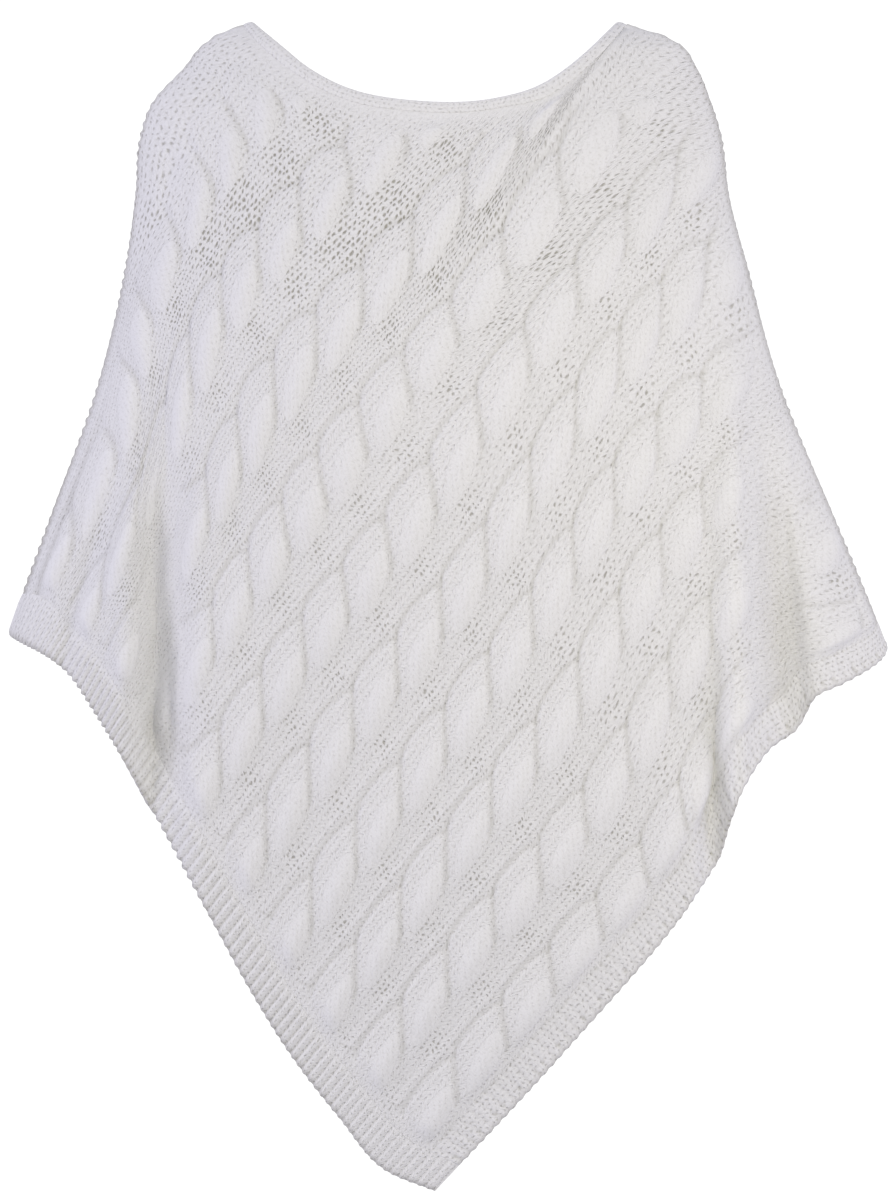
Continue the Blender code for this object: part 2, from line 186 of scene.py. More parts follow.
# Folds, each along a straight line from its top to its low end. A positive depth sinks in, a negative one
# stands out, and tail is the part of the depth that is left below the low end. The rows after the gap are the
# narrow creases that only this finer cloth has, and the others are the solid's own. At the end's share of its
# length a fold is down to its tail, and at the run's share its line stops.
FOLD_END = 1.15
FOLD_RUN = 1.3
FOLDS = {
    Side.FRONT: table("""
        x_top z_top x_low z_low width depth peak tail
        -204 -215 -207 -565 18 26 0.85 0.35
        -242 -300 -279 -470 12 7 0.6 1.0
        -222 -260 -240 -520 12 -6 0.6 0.5
        -204 -70 -202 -140 9 5 0.5 0.0
        228 -150 231 -570 14 -14 0.6 1.0
        240 -230 262 -520 17 17 0.8 1.0
        250 -260 273 -515 14 7 0.8 0.9
        290 -400 300 -500 16 -4 0.7 1.0
        212 -440 212 -650 10 12 0.75 0.9
        186 -520 190 -660 24 -6 0.5 0.6
        60 -420 40 -860 60 -4 0.5 0.8
        -90 -380 -120 -760 55 4 0.5 0.6

        -216 -330 -213 -550 8 9 0.7 0.3
        -206 -470 -207 -545 4.5 -4 0.6 0.2
        -199 -480 -198 -545 4.5 6 0.6 0.2
        -216 -490 -215 -550 4.5 6 0.7 0.2
        -182 -540 -180 -600 9 -3 0.5 0.4
        213 -510 205 -625 5 5 0.6 0.6
        199 -560 196 -620 7 -4 0.5 0.3
        268 -490 247 -526 5 4 0.6 0.5
        262 -300 280 -515 5 4 0.6 0.8
        -236 -120 -250 -260 6 3 0.5 0.0
        -150 -330 -150 -460 14 2 0.5 0.0
        -244 -343 -279 -466 5 3 0.6 0.6
    """),
    Side.BACK: table("""
        x_top z_top x_low z_low width depth peak tail
        -196 -190 -212 -560 18 19 0.8 1.0
        -248 -320 -276 -465 13 7 0.6 1.0
        -222 -260 -240 -520 15 -5 0.6 0.5
        214 -170 222 -600 18 -9 0.6 1.0
        238 -260 262 -540 18 18 0.8 1.0
        60 -90 40 -840 46 6 0.5 0.5
        -70 -110 -60 -760 50 5 0.4 0.6
        -10 -300 -20 -860 40 -5 0.6 0.8

        -214 -440 -210 -540 5 -4 0.5 0.0
        -222 -430 -220 -560 5 4 0.6 0.5
        246 -440 252 -530 5 5 0.6 0.4
        -150 -250 -168 -430 9 3 0.5 0.0
    """),
}

# Where the cloth is drawn flat down in the side folds: x, width, the height where it starts and the share lost.
# By the right shoulder no cable shows above this height and beyond this x.
DRAWN_FLAT = ((258, 24, -190, 0.75), (-206, 16, -260, 0.6))
DRAWN_RUN = 100
SHOULDER_X = 66
SHOULDER_Z = -66
SHOULDER_RUN = (40, 26)

# Where the stitches hang open across the chest, and how far that reaches each way.
CHEST_X = -40
CHEST_Z = -150
CHEST_REACH = (190, 45)

# The upper left, where the stitches hang looser: left of this x and above this z, and how soon.
UPPER_LEFT_X = 120
UPPER_LEFT_Z = -330
UPPER_LEFT_RUN = 200

# The heights below which more shade is painted on the left side edge and the left fold's floor, and how soon.
LOW_EDGE = (-250, 120)
LOW_FOLD = (-500, 50)
# Beyond this x shade is painted on the floors of the right wing's folds, and how soon. Folds this deep get the
# most.
RIGHT_WING = (236, 8)
DEEP_FOLD = 24

# The worn form: how full the chest stays towards the sides, and how round the side edges are.
FULLNESS = 2.3
ROUNDNESS = 0.62
ROLL_START = 0.8
SIDE_FOLD_FADE = 12

# How far the cloth is drawn to each of its own edges, in columns or as a share of its wales.
SIDE_REACH = 1.2
GARTER_REACH = 1.5
RIB_REACH = 0.2
END_REACH = 0.3
NECK_REACH = 0.08


def curve(keys: Array, values: Array, at: Array) -> Array:
    """Reads a smooth curve through values at rising keys.

    Args:
        keys: the places of the values.
        values: one value, or a row of them, for each key.
        at: where to read the curve.

    Returns:
        The curve's value at each place.
    """
    at = np.clip(at, keys[0], keys[-1])
    values = np.broadcast_to(np.asarray(values, float).reshape(len(keys), -1), (len(keys), at.size))
    slopes = np.gradient(values, keys, axis=0)
    start = np.clip(np.searchsorted(keys, at, side="right") - 1, 0, len(keys) - 2)
    each = np.arange(at.size)
    step = keys[start + 1] - keys[start]
    t = (at - keys[start]) / step
    low, high = values[start, each], values[start + 1, each]
    low_slope, high_slope = slopes[start, each], slopes[start + 1, each]
    from_low = (1 + 2 * t) * (1 - t) ** 2 * low + t * (1 - t) ** 2 * step * low_slope
    to_high = t**2 * (3 - 2 * t) * high - t**2 * (1 - t) * step * high_slope
    return from_low + to_high


def smooth(value: Array) -> Array:
    """Rises smoothly from 0 to 1 as value does."""
    value = np.clip(value, 0, 1)
    return value * value * (3 - 2 * value)


def rise(value: Array, start: float, run: float) -> Array:
    """Rises smoothly from 0, where value is at its start, to 1 after a run."""
    return smooth((value - start) / run)


def bell(distance: Array, width: float) -> Array:
    """A soft bump, 1 at no distance and nearly 0 at twice the width."""
    return np.exp(-((distance / width) ** 2))


def wrapped(value: Array) -> Array:
    """The distance to the nearest whole number, with its sign."""
    return value - np.round(value)


def along(rows: Table, key: str, at: Array) -> Array:
    """The points x, z of a table, read along its key."""
    return np.stack([curve(rows[key], rows["x"], at), curve(rows[key], rows["z"], at)])


def wale_crossings(column: Array) -> Array:
    """How many cable crossings the wales at these columns are long."""
    return curve(WALE_LENGTHS["column"], WALE_LENGTHS["crossings"], column)


def as_share(length: float, column: Array) -> Array:
    """A length along a wale as a share of that wale."""
    return length / CROSSING_PITCH / wale_crossings(column)


def above_rib(column: Array, up: Array) -> Array:
    """Shares of the wales at shares of what is left of them above the ribbed hem."""
    start = as_share(RIB_BAND + JOIN, column)
    return start + (1 - start) * up


class WornForm:
    """The hollow form that the cloth takes on a general figure: its sections, side edges and folds."""

    def section(self, column: str, z: Array) -> Array:
        """A column of the table of sections, read at heights z."""
        return curve(-SECTIONS["z"], SECTIONS[column], -z)

    def middle_and_half(self, z: Array) -> tuple[Array, Array]:
        """The middle of the form at each height, and half its width."""
        left, right = self.section("left", z), self.section("right", z)
        return (left + right) / 2, (right - left) / 2

    def roll(self, x: Array, z: Array) -> Array:
        """Gathers the places close to a side edge, so that the rounded edge has enough of them.

        Args:
            x: the places across.
            z: their heights.

        Returns:
            Where each place is across, once gathered.
        """
        middle, half = self.middle_and_half(z)
        reach = (x - middle) / half
        over = np.clip((np.abs(reach) - ROLL_START) / (1 - ROLL_START), 0, 1)
        eased = ROLL_START + (1 - ROLL_START) * (over + over**2 - over**3)
        return middle + half * np.where(over > 0, np.sign(reach) * eased, reach)

    def fold_depth(self, x: Array, z: Array, side: Side) -> Array:
        """How far the folds sink the cloth at each place.

        Args:
            x: the places across.
            z: their heights.
            side: the half that they are on.

        Returns:
            The depth, below 0 where a fold stands out.
        """
        total = np.zeros_like(x)
        for x_top, z_top, x_low, z_low, width, depth, peak, tail in zip(*FOLDS[side].values()):
            down = (z_top - z) / (z_top - z_low)
            deepened = smooth(down / peak)
            left_over = 1 - (1 - tail) * smooth((down - peak) / (FOLD_END - peak))
            centre = x_top + (x_low - x_top) * np.clip(down, 0, FOLD_RUN)
            total += depth * deepened * left_over * bell(x - centre, width)
        return total

    def depth(self, x: Array, z: Array, side: Side) -> Array:
        """How far the cloth's middle layer stands from the plane of the side seams.

        Args:
            x: the places across.
            z: their heights.
            side: the half that they are on.

        Returns:
            The distance at each place.
        """
        middle, half = self.middle_and_half(z)
        reach = np.clip(np.abs(x - middle) / half, 0, 1)
        form = self.section(side.label, z) * (1 - reach**FULLNESS) ** ROUNDNESS
        folded = self.fold_depth(x, z, side) * (1 - reach**SIDE_FOLD_FADE)
        return np.maximum(form - folded, SEAM_GAP / 2)

    def outward(self, x: Array, z: Array, side: Side) -> Array:
        """The cloth's outward directions, worked out from the slope of its form.

        Args:
            x: the places across.
            z: their heights.
            side: the half that they are on.

        Returns:
            A direction of length 1 for each place.
        """
        step = 1.0
        slope_x = (self.depth(x + step, z, side) - self.depth(x - step, z, side)) / (2 * step)
        slope_z = (self.depth(x, z + step, side) - self.depth(x, z - step, side)) / (2 * step)
        middle, half = self.middle_and_half(z)
        at_seam = np.abs(x - middle) > half - 0.01
        facing = np.where(at_seam, 0.0, side.facing)
        normals = np.stack([-slope_x, facing, -slope_z], axis=1)
        return normals / np.linalg.norm(normals, axis=1, keepdims=True)


class Cut:
    """The home-plate cut that both halves share, laid on the worn form."""

    def __init__(self, form: WornForm) -> None:
        """Keeps the form, and works out where the key wales run.

        Args:
            form: the worn form that it is laid on.
        """
        self.form = form
        inner = KEY_WALES["column"]
        self.columns = np.array([GARTER_EDGE, *inner, SIDE_SEAM])
        places = [along(RIB_HEM, "column", inner)]
        places += [np.stack([KEY_WALES[f"x{k}"], KEY_WALES[f"z{k}"]]) for k in (1, 2, 3)]
        places += [self.far_end(inner)]
        first = along(GARTER_HEM, "share", QUARTERS)[:, None]
        last = self.left_side(QUARTERS)[:, None]
        self.places = np.concatenate([first, np.stack(places, axis=2), last], axis=1)

    def left_side(self, share: Array) -> Array:
        """The left side's wale, where the panels meet."""
        z = curve(LEFT_SIDE["share"], LEFT_SIDE["z"], share)
        return np.stack([self.form.section("left", z), z])

    def far_end(self, column: Array) -> Array:
        """Where a wale ends: on the right side, or past the neck tip on the neck seam."""
        z = curve(RIGHT_SIDE["column"], RIGHT_SIDE["z"], column)
        on_side = np.stack([self.form.section("right", z), z])
        return np.where(column <= NECK_TIP, on_side, along(NECK_SEAM, "column", column))

    def below_neck(self, x: Array, z: Array) -> Array:
        """How far below the neck seam each place is, in mm."""
        return np.interp(x, NECK_SEAM["x"][::-1], NECK_SEAM["z"][::-1]) - z

    def lay(self, column: Array, share: Array) -> Array:
        """Finds places in the plane of the front.

        Args:
            column: the places across the cloth.
            share: the places along their wales.

        Returns:
            x and z of each place. The cloth follows the key wales, and is drawn to its edges close to them.
        """
        near_side = smooth(1 - (SIDE_SEAM - column) / SIDE_REACH)
        near_garter = smooth(1 - (column - GARTER_EDGE) / GARTER_REACH)
        near_rib = smooth(1 - share / RIB_REACH)
        near_end = smooth(1 - (1 - share) / END_REACH)
        on_side, on_garter = self.left_side(share), along(GARTER_HEM, "share", share)
        on_rib, on_end = along(RIB_HEM, "column", column), self.far_end(column)
        laid = []
        for axis in (0, 1):
            keys = self.places[axis]
            wales = np.array([curve(QUARTERS, wale, share) for wale in keys])
            value = curve(self.columns, wales, column)
            value += near_side * (on_side[axis] - wales[-1])
            value += near_garter * (on_garter[axis] - wales[0])
            value += near_rib * (on_rib[axis] - curve(self.columns, keys[:, 0], column))
            value += near_end * (on_end[axis] - curve(self.columns, keys[:, -1], column))
            laid.append(value)
        x, z = laid
        x = np.where(column >= SIDE_SEAM, self.form.section("left", z), x)
        x = np.where((share >= 1) & (column <= NECK_TIP), self.form.section("right", z), x)
        # The wales that end on the neck seam meet the band there, so they aren't gathered.
        gathered = 1 - smooth(1 - (1 - share) / NECK_REACH) * (column > NECK_TIP)
        return np.stack([x + (self.form.roll(x, z) - x) * gathered, z])


# Where distances from lines stop, and the yarn's gauge: how far apart its legs and its rows are.
FAR_OFF = 30.0
LEG_PITCH = 4.2
ROW_PITCH = 4.2


@dataclass
class Cloth:
    """What each place of cloth has: its point, and three vectors that its finish reads there."""

    points: Array  # the places' points
    # The yarn legs counted across, the rows counted along, and how loose the stitches are, or how plain they
    # are where that is below 0.
    ground_stitch: Vectors
    # The same counts in a cable's strand, which lean with it, and where those counts hold.
    strand_stitch: Vectors
    # The distances to the nearest line beside a cable and to the nearest crease between two strands, and how
    # much shade is painted on the place for lying sunken, with light painted where that is below 0.
    lines: Vectors


def even_cloth(points: Array, legs: Array, rows: Array, openness: Array, painted_groove_shade: Array) -> Cloth:
    """Cloth with no cable strands in it."""
    nothing, far_off = np.zeros_like(legs), np.full_like(legs, FAR_OFF)
    return Cloth(points, (legs, rows, openness), (legs, rows, nothing), (far_off, far_off, painted_groove_shade))


Places = Callable[[Array, Array, Array], Cloth]


def cloth_shell(name: str, cells: tuple[int, int], inside_ratio: int, places: Places) -> Object:
    """Makes a closed shell of cloth, fine outside and coarser inside.

    Args:
        name: the new piece's name.
        cells: how many cells the outside has across and along.
        inside_ratio: how many outside cells one inside cell spans each way.
        places: gives the cloth at shares across and along, and for outside or inside.

    Returns:
        The piece, with the outside in its first material slot and the inside in its second.
    """
    across, up = cells
    bm = bmesh.new()
    bmesh.ops.create_grid(bm, x_segments=across, y_segments=up, size=0.5)
    bmesh.ops.translate(bm, verts=bm.verts[:], vec=(0, 0, 1))
    already = set(bm.faces)
    bmesh.ops.create_grid(bm, x_segments=across // inside_ratio, y_segments=up // inside_ratio, size=0.5)
    for face in bm.faces:
        face.material_index = 0 if face in already else 1
    rims = [edge for edge in bm.edges if edge.is_boundary]
    for edge in rims:
        edge.smooth = False
    bmesh.ops.bridge_loops(bm, edges=rims)
    bmesh.ops.recalc_face_normals(bm, faces=bm.faces[:])
    mesh = bpy.data.meshes.new(name)
    bm.to_mesh(mesh)
    bm.free()
    count = len(mesh.vertices)
    flat = np.empty(count * 3)
    mesh.vertices.foreach_get("co", flat)
    flat = flat.reshape(count, 3)
    cloth = places(np.clip(flat[:, 0] + 0.5, 0, 1), np.clip(flat[:, 1] + 0.5, 0, 1), flat[:, 2] > 0.5)
    mesh.vertices.foreach_set("co", (cloth.points * MM).ravel())
    for kind in ("ground_stitch", "strand_stitch", "lines"):
        kept = mesh.attributes.new(kind, "FLOAT_VECTOR", "POINT")
        kept.data.foreach_set("vector", np.stack(getattr(cloth, kind), axis=1).astype(np.float32).ravel())
    mesh.update()
    if is_inside_out(mesh):
        mesh.flip_normals()
    mesh.shade_smooth()
    return add_object(name, mesh)


def add_object(name: str, data: ID) -> Object:
    """Puts a new object in the scene."""
    made = bpy.data.objects.new(name, data)
    bpy.context.scene.collection.objects.link(made)
    return made


def is_inside_out(mesh: Mesh) -> bool:
    """Whether a closed mesh's faces point inwards.

    Args:
        mesh: the closed mesh.

    Returns:
        True if they do.
    """
    bm = bmesh.new()
    bm.from_mesh(mesh)
    volume = bm.calc_volume(signed=True)
    bm.free()
    return volume < 0


def linear(colour: str) -> tuple[float, float, float, float]:
    """Turns an sRGB hex colour to linear values.

    Args:
        colour: such as "#E4E2E3".

    Returns:
        Red, green, blue and an alpha of 1.
    """
    shares = [int(colour[i : i + 2], 16) / 255 for i in (1, 3, 5)]
    values = [s / 12.92 if s <= 0.04045 else ((s + 0.055) / 1.055) ** 2.4 for s in shares]
    return (*values, 1.0)


def add_node(tree: NodeTree, kind: str, inputs: dict | None = None, **settings: object) -> Node:
    """Adds a node.

    Args:
        tree: the node tree that gets it.
        kind: the node's type, without the words that they all begin with.
        inputs: a value, a number or another node's output for each input, by its name or place.
        settings: the node's own properties.

    Returns:
        The node.
    """
    node = tree.nodes.new(f"ShaderNode{kind}")
    for name, value in settings.items():
        setattr(node, name, value)
    for key, value in (inputs or {}).items():
        value = value.socket if isinstance(value, Number) else value
        if isinstance(value, NodeSocket):
            tree.links.new(value, node.inputs[key])
        else:
            node.inputs[key].default_value = value
    return node


@dataclass(frozen=True)
class Number:
    """A number in a node tree, which the usual signs add to, multiply and so on."""

    socket: NodeSocket

    def through(self, operation: str, *others: "Number | float") -> "Number":
        """The number after one operation of a Math node."""
        inputs = dict(enumerate((self, *others)))
        return Number(add_node(self.socket.id_data, "Math", inputs, operation=operation).outputs[0])

    __add__ = partialmethod(through, "ADD")
    __sub__ = partialmethod(through, "SUBTRACT")
    __mul__ = partialmethod(through, "MULTIPLY")
    __pow__ = partialmethod(through, "POWER")
    __mod__ = partialmethod(through, "FLOORED_MODULO")
    __abs__ = partialmethod(through, "ABSOLUTE")

    def __rsub__(self, other: float) -> "Number":
        """What is left of another number after this one is taken away."""
        return self * -1.0 + other

    def clipped(self) -> "Number":
        """The number, kept from 0 to 1."""
        return self.through("MAXIMUM", 0.0).through("MINIMUM", 1.0)


def parts(vector: NodeSocket) -> list[Number]:
    """The three numbers of a vector."""
    split = add_node(vector.id_data, "SeparateXYZ", {0: vector})
    return [Number(socket) for socket in split.outputs]


def mix(kind: str, share: Number, first: object, second: object) -> NodeSocket:
    """A mix of two vectors or colours. The node's sockets repeat their names, so they are given by place."""
    place = {"VECTOR": 1, "RGBA": 2}[kind]
    inputs = {0: share, 2 + 2 * place: first, 3 + 2 * place: second}
    return add_node(share.socket.id_data, "Mix", inputs, data_type=kind).outputs[place]


def cleared_tree(owner: ID) -> NodeTree:
    """The empty node tree of a new material or world."""
    owner.use_nodes = True
    owner.node_tree.nodes.clear()
    return owner.node_tree


@dataclass(frozen=True)
class KnittedYarn:
    """Soft white spun yarn, knitted: matt, fuzzy at grazing angles, with shade painted between its stitches."""

    name: str  # the material's name
    light: str = "#EBEBE9"  # the yarn's own colour where it faces out
    painted_shade_and_fibre_colour: str = "#88846F"  # the colour of the shade painted between the stitches and in grooves, where light has bounced from yarn to yarn; the fibres' tone varies towards it too
    # How many rows a leg leans over its width; neighbours lean opposite ways, which makes the Vs.
    lean: float = 1.5
    drift: float = 1.0  # how far legs wander from their lines, in legs
    leg_fall: float = 0.3  # how far a leg falls to its sides, as a share of its height
    # How much shade is painted into the gaps between tight stitches, from 0 to 1, like the other painted
    # shades.
    stitch_shade: float = 0.17
    # How much more shade is painted into the holes between loose stitches than into those between tight ones.
    hole_shade: float = 0.46
    tight_shade: float = 0.16  # how much shade is painted into the holes between tight stitches
    # The radius of a hole between tight stitches, and what loose stitches add to it.
    hole_radius: tuple[float, float] = (0.75, 0.75)
    hole_stray: float = 1.2  # how far the holes stray from their even places
    groove_shade: float = 0.12  # how much shade is painted on a sunken place
    line_keenness: float = 0.22  # how narrow the painted shade of the lines beside the cables is, in 1/mm2
    crease_shade: float = 1.3  # how much shade is painted in the creases between strands, in times those lines
    fuzz: float = 0.5  # how much the fibres vary its shade
    fibre_relief: float = 0.8  # how high the fibres stand, as a share of the stitches
    relief: float = 0.00042  # how high the stitches stand in the bump, in metres
    strand_calm: float = 0.5  # how much plainer the stitches of a cable's strand are
    strand_tight: float = 0.8  # how much tighter they are

    def build(self) -> Material:
        """Makes the material.

        Returns:
            A material whose stitches follow the piece's own stitch coordinates.
        """
        made = bpy.data.materials.new(self.name)
        tree = cleared_tree(made)

        def attribute(name: str) -> NodeSocket:
            """The vector of this name that the mesh keeps for each point."""
            return add_node(tree, "Attribute", attribute_name=name).outputs["Vector"]

        def noise(scale: float, detail: float, roughness: float) -> Node:
            """A noise that follows the stitches."""
            inputs = {"Vector": count, "Scale": scale, "Detail": detail, "Roughness": roughness}
            return add_node(tree, "TexNoise", inputs)

        def line(distance: Number) -> Number:
            """How much of a line's painted shade shows at a distance from its middle, in mm."""
            return (distance**2.0 * -self.line_keenness).through("EXPONENT")

        ground, strand = attribute("ground_stitch"), attribute("strand_stitch")
        from_line, from_crease, painted_hollow_shade_and_light = parts(attribute("lines"))
        openness = parts(ground)[2]
        is_strand = parts(strand)[2].through("GREATER_THAN", 0.5)
        count = mix("VECTOR", is_strand, ground, strand)
        drift_across, drift_along, _ = parts(noise(0.6, 2.0, 0.6).outputs["Color"])
        legs, rows, _ = parts(count)
        legs = legs + (drift_across - 0.5) * self.drift
        rows = rows + (drift_along - 0.5) * (2 * self.drift)
        in_leg = legs.through("FRACT") - 0.5
        hand = (legs.through("FLOOR") % 2.0) * (2.0 * self.lean) - self.lean
        along_leg = abs(((rows + hand * in_leg) * math.pi).through("SINE"))
        off_middle = abs(in_leg * 2.0)
        notch = (1.0 - along_leg) ** 1.5 * (off_middle * 0.5 + 0.25)
        leg = (off_middle**3.0 * -self.leg_fall + 1.0) * (1.0 - notch)
        # Where four legs meet there is a hole; its size differs from stitch to stitch, and shade is painted
        # into it.
        meeting = legs.through("ROUND")
        shifted = rows + ((meeting % 2.0) * -self.lean + self.lean / 2)
        hole_row = shifted.through("ROUND")
        stitch = add_node(tree, "CombineXYZ", {0: meeting, 1: hole_row})
        random = add_node(tree, "TexWhiteNoise", {"Vector": stitch.outputs[0]}, noise_dimensions="3D")
        chance = Number(random.outputs["Value"])
        stray_across, stray_along, _ = parts(random.outputs["Color"])
        beside_hole = (legs - meeting) * LEG_PITCH + (stray_across - 0.5) * self.hole_stray
        above_hole = (shifted - hole_row) * ROW_PITCH + (stray_along - 0.5) * self.hole_stray
        off_hole = (above_hole * above_hole + beside_hole * beside_hole).through("SQRT")
        looseness = openness.through("MAXIMUM", 0.0) * (is_strand * -self.strand_tight + 1.0)
        tight_radius, loose_radius = self.hole_radius
        radius = looseness * (chance * 0.8 + 0.5) * loose_radius + tight_radius
        hole = (radius - off_hole).clipped()
        plain = openness.through("MINIMUM", 0.0)
        calm = is_strand * -self.strand_calm + 1.0 + plain
        # Painted shade in the holes and in the gaps between the legs.
        painted_hole_shade = hole * (looseness * self.hole_shade + self.tight_shade) * (plain + 1.0)
        painted_gap_shade = (1.0 - leg) * calm * self.stitch_shade + painted_hole_shade
        # Painted shade along the lines beside the cables, in the creases and on sunken places; below 0, painted
        # light.
        painted_line_and_hollow_shade = line(from_crease) * self.crease_shade + line(from_line) + painted_hollow_shade_and_light
        fibres = Number(noise(2.6, 3.0, 0.7).outputs["Fac"])
        # All the painted shade, and the fibres' own varied tone, as a share of the shade colour.
        shade = painted_line_and_hollow_shade * self.groove_shade + painted_gap_shade + (0.5 - fibres) * self.fuzz
        height = (fibres * self.fibre_relief + (leg - hole)) * calm
        bump = add_node(tree, "Bump", {"Strength": 1.0, "Distance": self.relief, "Height": height})
        look = {
            "Base Color": mix("RGBA", shade.clipped(), linear(self.light), linear(self.painted_shade_and_fibre_colour)),
            "Roughness": 0.92,
            "Metallic": 0.0,
            "Specular IOR Level": 0.2,
            "Sheen Weight": 0.25,
            "Sheen Roughness": 0.6,
            "Normal": bump.outputs[0],
        }
        surface = add_node(tree, "BsdfPrincipled", look)
        add_node(tree, "OutputMaterial", {"Surface": surface.outputs[0]})
        return made


CABLE_KNIT = KnittedYarn("cable_knit_yarn")
REVERSE_KNIT = KnittedYarn("reverse_knit_yarn", lean=0.5, stitch_shade=0.2)
RIB_KNIT = KnittedYarn("rib_knit_yarn", groove_shade=0.14)
GARTER_KNIT = KnittedYarn("garter_knit_yarn", lean=0.5, groove_shade=0.36)
BAND_KNIT = KnittedYarn("band_knit_yarn", lean=0.4)


@dataclass
class Piece:
    """A piece of cloth on one half of the garment."""

    part: ClassVar[str]  # which part it is, as its node's name has it after the half's
    slot: ClassVar[str]  # a short name of its kind of knit
    yarn: ClassVar[KnittedYarn]  # the finish of its outside
    cells: ClassVar[tuple[int, int]]  # how many cells the outside has across and along
    inside_ratio: ClassVar[int] = 4  # how many outside cells one inside cell spans each way
    # How many cells in from its ends the cloth is rounded off, across and along.
    edge_reach: ClassVar[tuple[float, float]]
    # How far it is rounded off at its low and high ends, across and along.
    edge_drops: ClassVar[tuple[float, ...]]

    side: Side  # the half that it is on
    form: WornForm  # the worn form
    cut: Cut  # the cut, laid on that form

    def places(self, across: Array, up: Array, outside: Array) -> Cloth:
        """The piece's cloth, which each kind of piece works out in its own way.

        Args:
            across: shares of the cells across.
            up: shares of the cells along.
            outside: which places are on the outside.

        Returns:
            The cloth at each place.
        """
        raise NotImplementedError

    def faces(self, x: Array, z: Array, outside: Array, relief: Array, inside_drop: Array) -> Array:
        """The points of both faces: raised by the relief outside, and plain inside.

        Args:
            x: the places across.
            z: their heights.
            outside: which places are on the outside.
            relief: how far the outside stands out.
            inside_drop: how far the inside is rounded off.

        Returns:
            The points.
        """
        normals = self.form.outward(x, z, self.side)
        middle = np.stack([x, self.side.facing * self.form.depth(x, z, self.side), z], axis=1)
        return middle + normals * np.where(outside, relief, inside_drop - WALL)[:, None]

    def edge_drop(self, across: Array, up: Array, has_top: Array | bool = True) -> Array:
        """How far the cloth is rounded off near its low and high ends, across and along.

        Args:
            across: shares of the cells across.
            up: shares of the cells along.
            has_top: where the cloth has a high end along, and isn't joined there to another piece.

        Returns:
            The drop at each place.
        """
        shares = np.stack([across, 1 - across, up, 1 - up])
        cells, reach = np.repeat(self.cells, 2)[:, None], np.repeat(self.edge_reach, 2)[:, None]
        near = np.clip(1 - shares * cells / reach, 0, 1) ** 2
        near[3] *= has_top
        return sum(drop * end for drop, end in zip(self.edge_drops, near))

    def make(self) -> Object:
        """Makes the piece, gives it its finishes, puts it on the body that it rides on, and hides the solid
        that it stands for.

        Returns:
            The piece.
        """
        node = f"{self.side.label}_{self.part}"
        piece = cloth_shell(f"{node}_knit", self.cells, self.inside_ratio, self.places)
        for yarn in (self.yarn, REVERSE_KNIT):
            piece.data.materials.append(yarn.build())
        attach(piece, BODY)
        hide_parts(node)
        return piece


